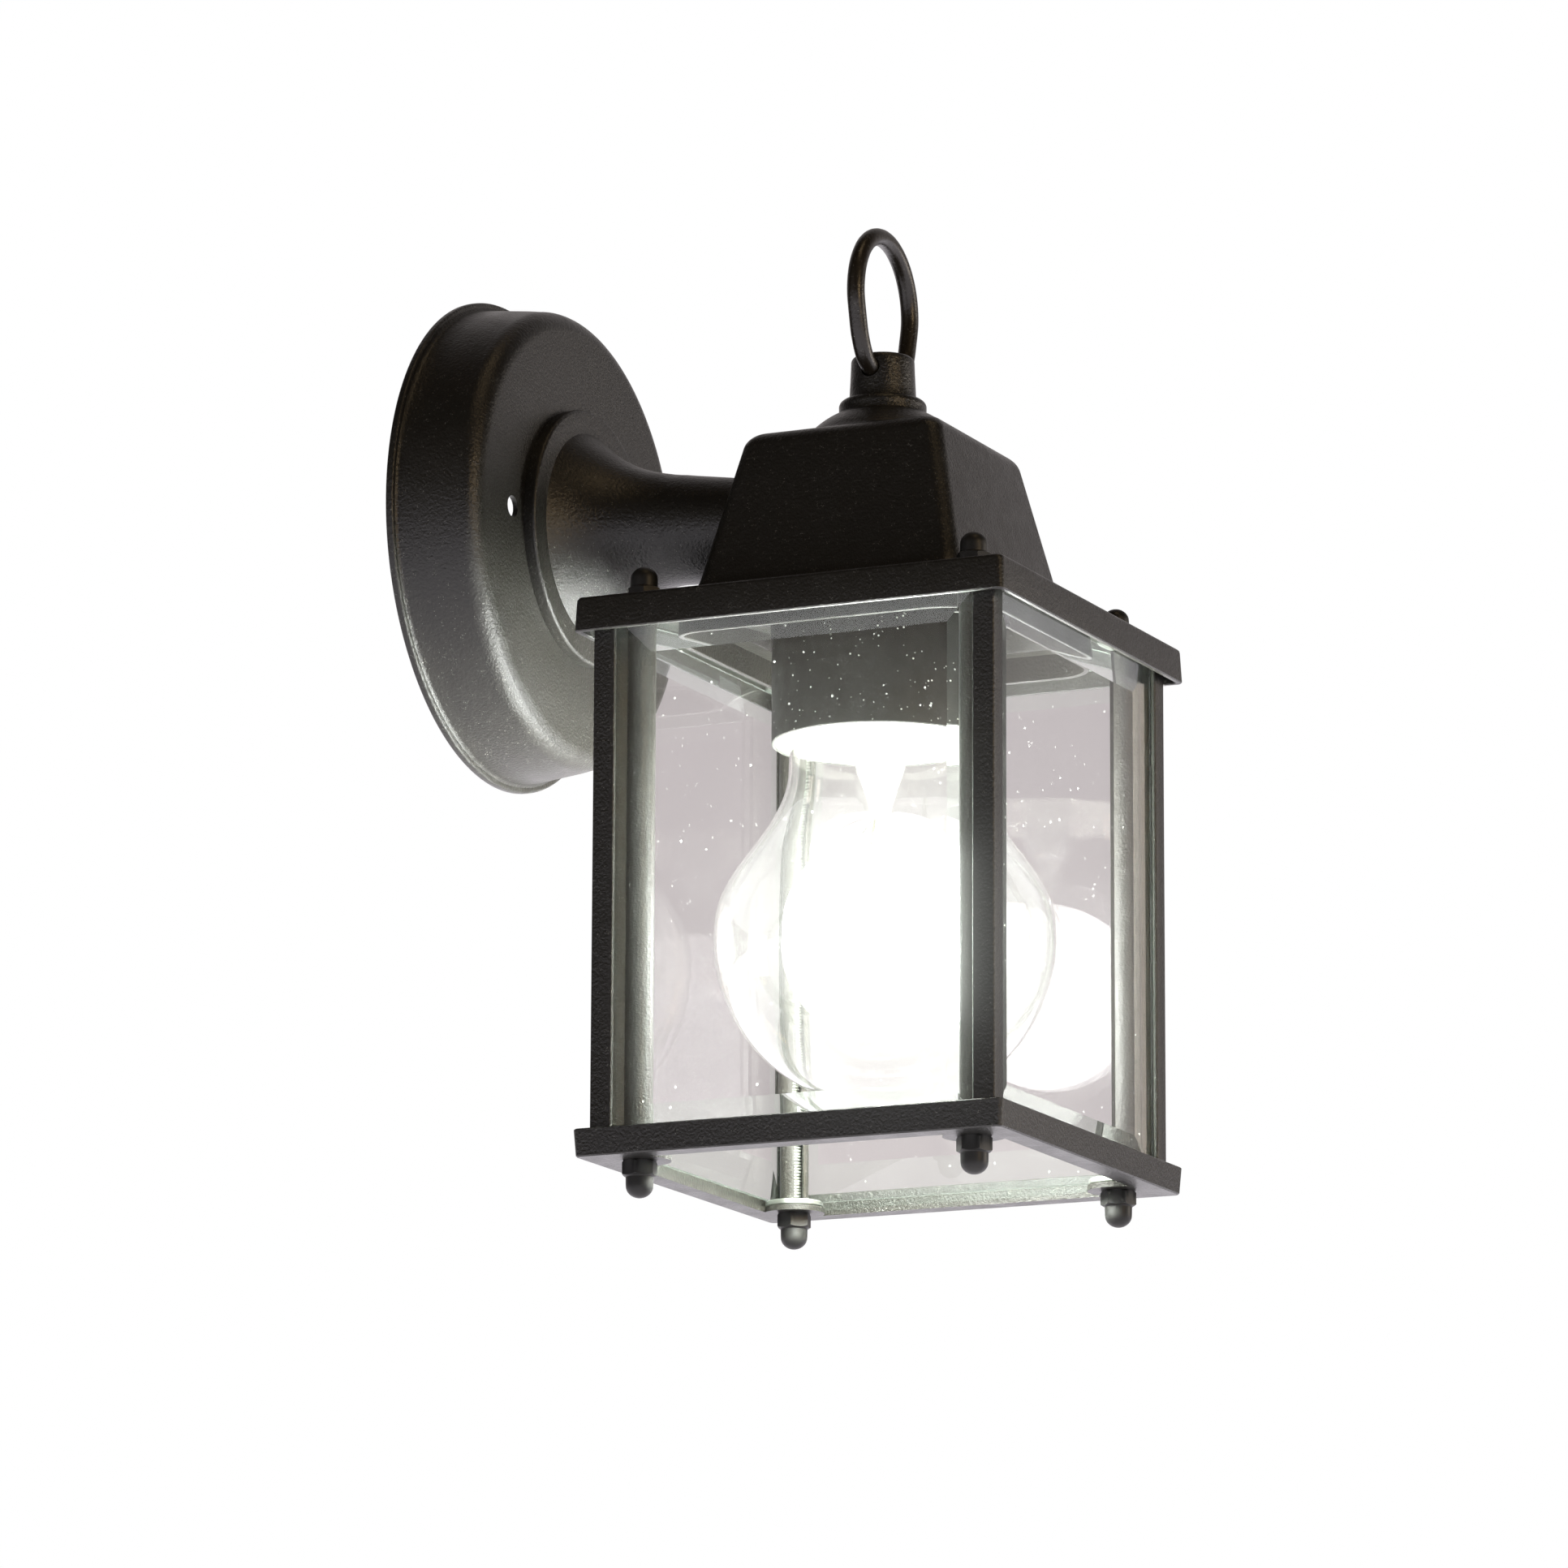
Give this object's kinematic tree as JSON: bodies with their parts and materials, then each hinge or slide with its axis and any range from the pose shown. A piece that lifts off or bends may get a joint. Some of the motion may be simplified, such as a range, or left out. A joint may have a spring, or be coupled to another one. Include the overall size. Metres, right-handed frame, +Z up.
{
  "type": "outdoor wall lantern",
  "caption": "Square glass-cage wall lantern on a short flared arm and round canopy, with a clear lamp in a sleeved holder, an open base and a ring on its finial.",
  "frame": {"origin": "centre of the canopy's back plane, on the wall", "axes": "+X to the right seen from the room, +Y into the wall, +Z up; the lantern hangs on the -Y side"},
  "size_m": [0.1138, 0.149, 0.2264],
  "materials": {
    "powder_coat": "fine-textured satin powder coat, dark bronze-black",
    "cast_powder_coat": "fine-textured satin powder coat, dark bronze-black, on cast or extruded aluminium",
    "steel": "zinc-plated",
    "black_nut": "matte black plated",
    "sleeve": "satin black lacquer",
    "porcelain": "glazed porcelain",
    "brass": "plain",
    "vitrite": "black glass insulator",
    "bulb_glass": "clear blown glass",
    "pane_glass": "clear bevelled glass",
    "nylon": "moulded",
    "lead_black": "insulated wire",
    "lead_white": "insulated wire",
    "lead_green": "insulated wire"
  },
  "bodies": {
    "fixture": {"wall_canopy": "powder_coat", "arm": "cast_powder_coat", "roof": "cast_powder_coat", "finial": "cast_powder_coat", "bottom_frame": "cast_powder_coat", "post_front_left": "cast_powder_coat", "post_front_right": "cast_powder_coat", "post_rear_right": "cast_powder_coat", "post_rear_left": "cast_powder_coat", "arm_screw_1": "steel", "arm_screw_2": "steel", "arm_screw_3": "steel", "arm_nipple": "steel", "arm_nipple_nut": "steel", "finial_nut": "steel", "lampholder_bracket": "steel", "bracket_screw_left": "steel", "bracket_screw_right": "steel", "tie_rod_front_left": "steel", "lower_disc_front_left": "steel", "upper_disc_front_left": "steel", "top_cap_nut_front_left": "black_nut", "bottom_cap_nut_front_left": "black_nut", "tie_rod_front_right": "steel", "lower_disc_front_right": "steel", "upper_disc_front_right": "steel", "top_cap_nut_front_right": "black_nut", "bottom_cap_nut_front_right": "black_nut", "tie_rod_rear_right": "steel", "lower_disc_rear_right": "steel", "upper_disc_rear_right": "steel", "top_cap_nut_rear_right": "black_nut", "bottom_cap_nut_rear_right": "black_nut", "tie_rod_rear_left": "steel", "lower_disc_rear_left": "steel", "upper_disc_rear_left": "steel", "top_cap_nut_rear_left": "black_nut", "bottom_cap_nut_rear_left": "black_nut", "socket_sleeve": "sleeve", "lampholder_body": "porcelain", "shade_ring": "porcelain", "lampholder_shell": "brass", "centre_contact": "brass", "earth_tag": "brass", "glass_pane_front": "pane_glass", "glass_pane_right": "pane_glass", "glass_pane_rear": "pane_glass", "glass_pane_left": "pane_glass", "terminal_block": "nylon", "lead_live": "lead_black", "lead_neutral": "lead_white", "lead_earth": "lead_green"},
    "ring": {"hanging_ring": "powder_coat"},
    "bulb": {"bulb_glass": "bulb_glass", "bulb_cap": "brass", "bulb_insulator": "vitrite", "bulb_contact": "steel", "bulb_stem": "bulb_glass", "bulb_filament": "steel"}
  },
  "joints": [
    {"name": "ring_swing", "type": "hinge", "parent": "fixture", "child": "ring", "pos_m": [0, -0.097, 0.0311], "axis": [1, 0, 0], "range_deg": [-110, 110]},
    {"name": "bulb_removal", "type": "slide", "parent": "fixture", "child": "bulb", "axis": [0, 0, -1], "range_m": [0, 0.15]}
  ]
}
